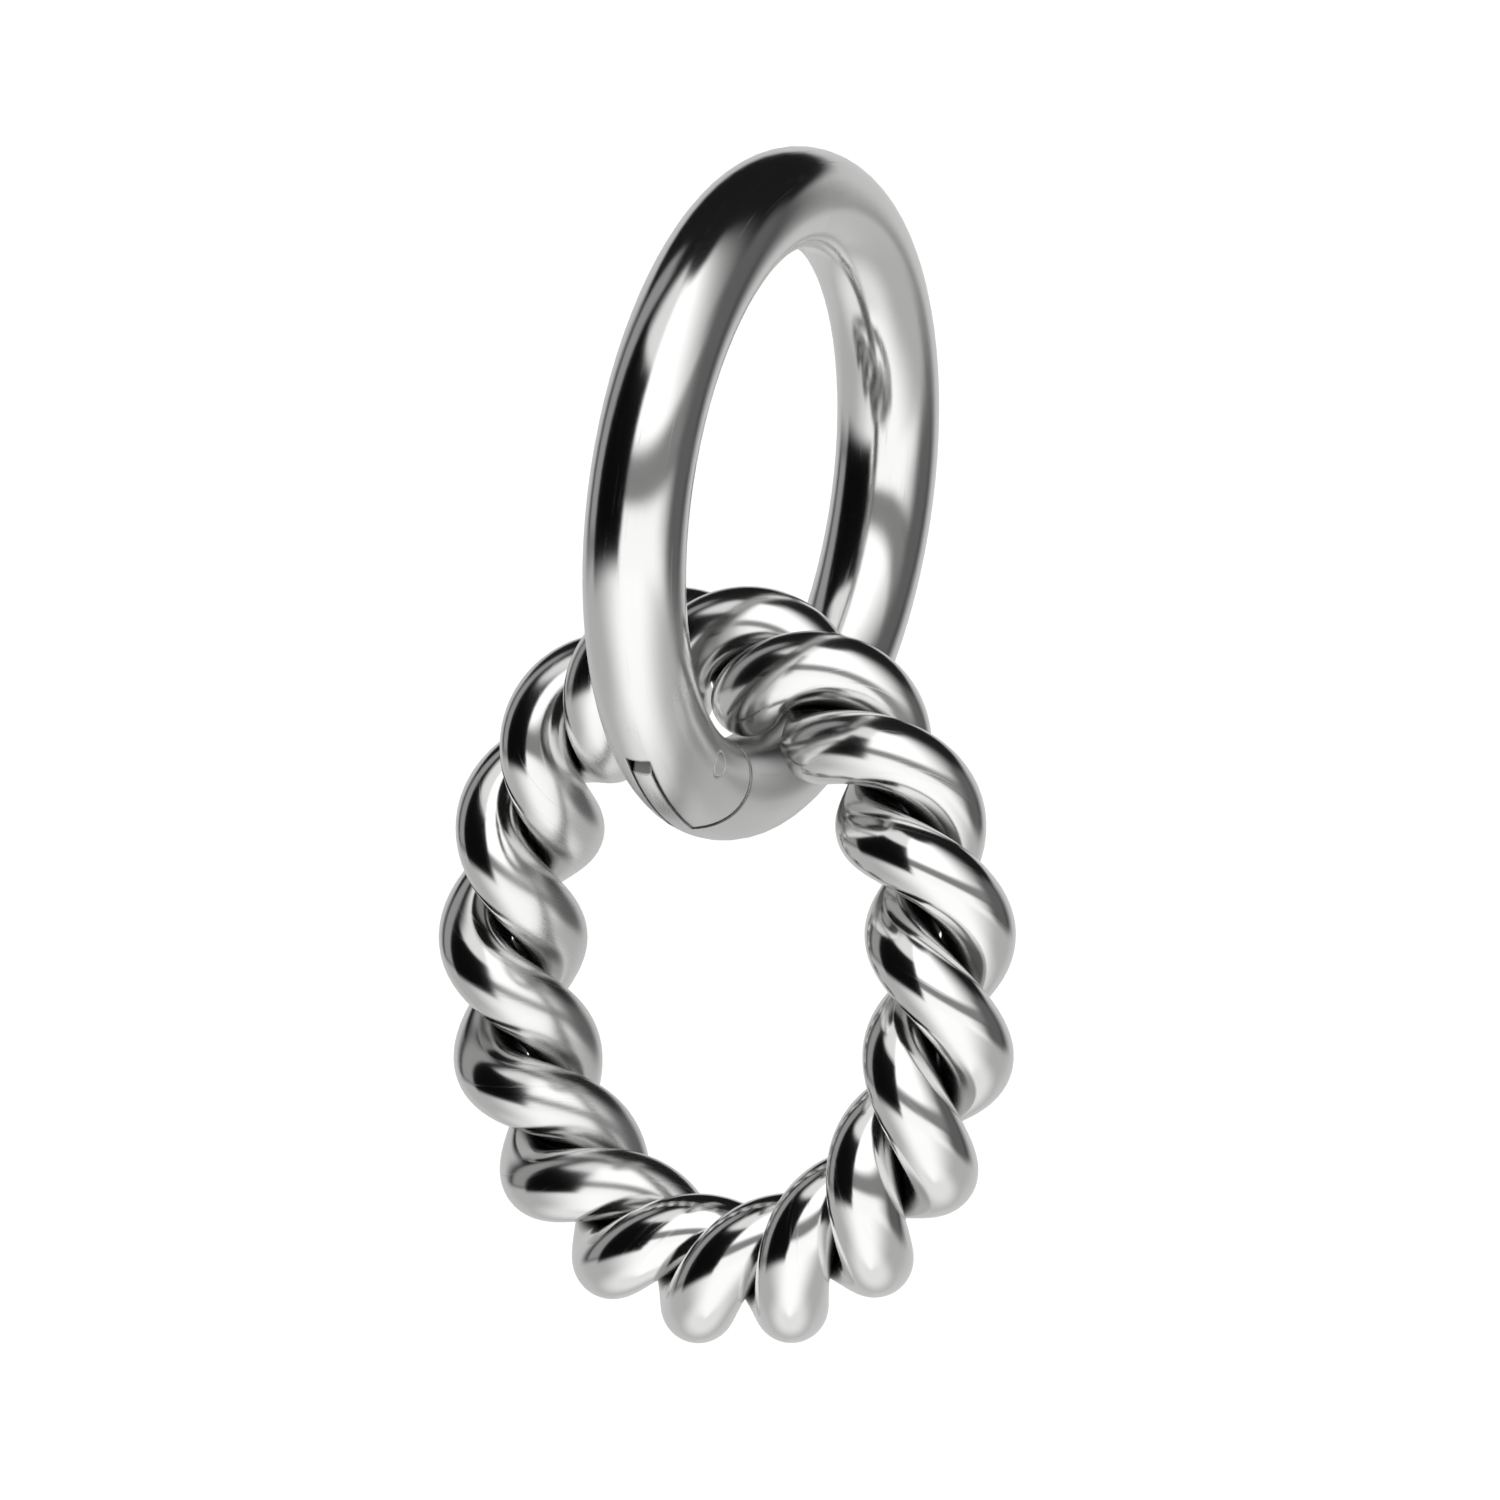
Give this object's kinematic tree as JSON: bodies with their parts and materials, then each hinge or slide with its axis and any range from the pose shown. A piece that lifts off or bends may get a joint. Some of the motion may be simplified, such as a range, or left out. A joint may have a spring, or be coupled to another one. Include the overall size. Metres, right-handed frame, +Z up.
{
  "type": "twisted hoop earring",
  "caption": "Hinged round-wire hoop earring with a two-strand twisted wire ring hanging on it.",
  "frame": {"origin": "middle of the hoop's wire at its top, where it hangs in the ear lobe", "axes": "+Z up; the hoop stands in the YZ plane with its hinge towards -Y; the twisted ring hangs below, facing mainly along Y"},
  "size_m": [0.0178, 0.017, 0.0295],
  "materials": {
    "hoop_steel": "mirror-polished surgical steel",
    "pin_steel": "polished surgical steel, ends flush with the wire",
    "twist_steel": "mirror-polished twisted wire of surgical steel"
  },
  "bodies": {
    "hoop": {"hoop_body": "hoop_steel", "hinge_pin": "pin_steel"},
    "gate": {"hoop_gate": "hoop_steel"},
    "twisted_ring": {"strand_a": "twist_steel", "strand_b": "twist_steel"}
  },
  "joints": [
    {"name": "gate_hinge", "type": "hinge", "parent": "hoop", "child": "gate", "pos_m": [0, -0.00405, -0.01326], "axis": [-1, 0, 0], "range_deg": [0, 60]},
    {"name": "ring_swing", "type": "hinge", "parent": "hoop", "child": "twisted_ring", "pos_m": [0, 0, -0.0145], "axis": [0, 1, 0], "range_deg": [-45, 45]}
  ]
}
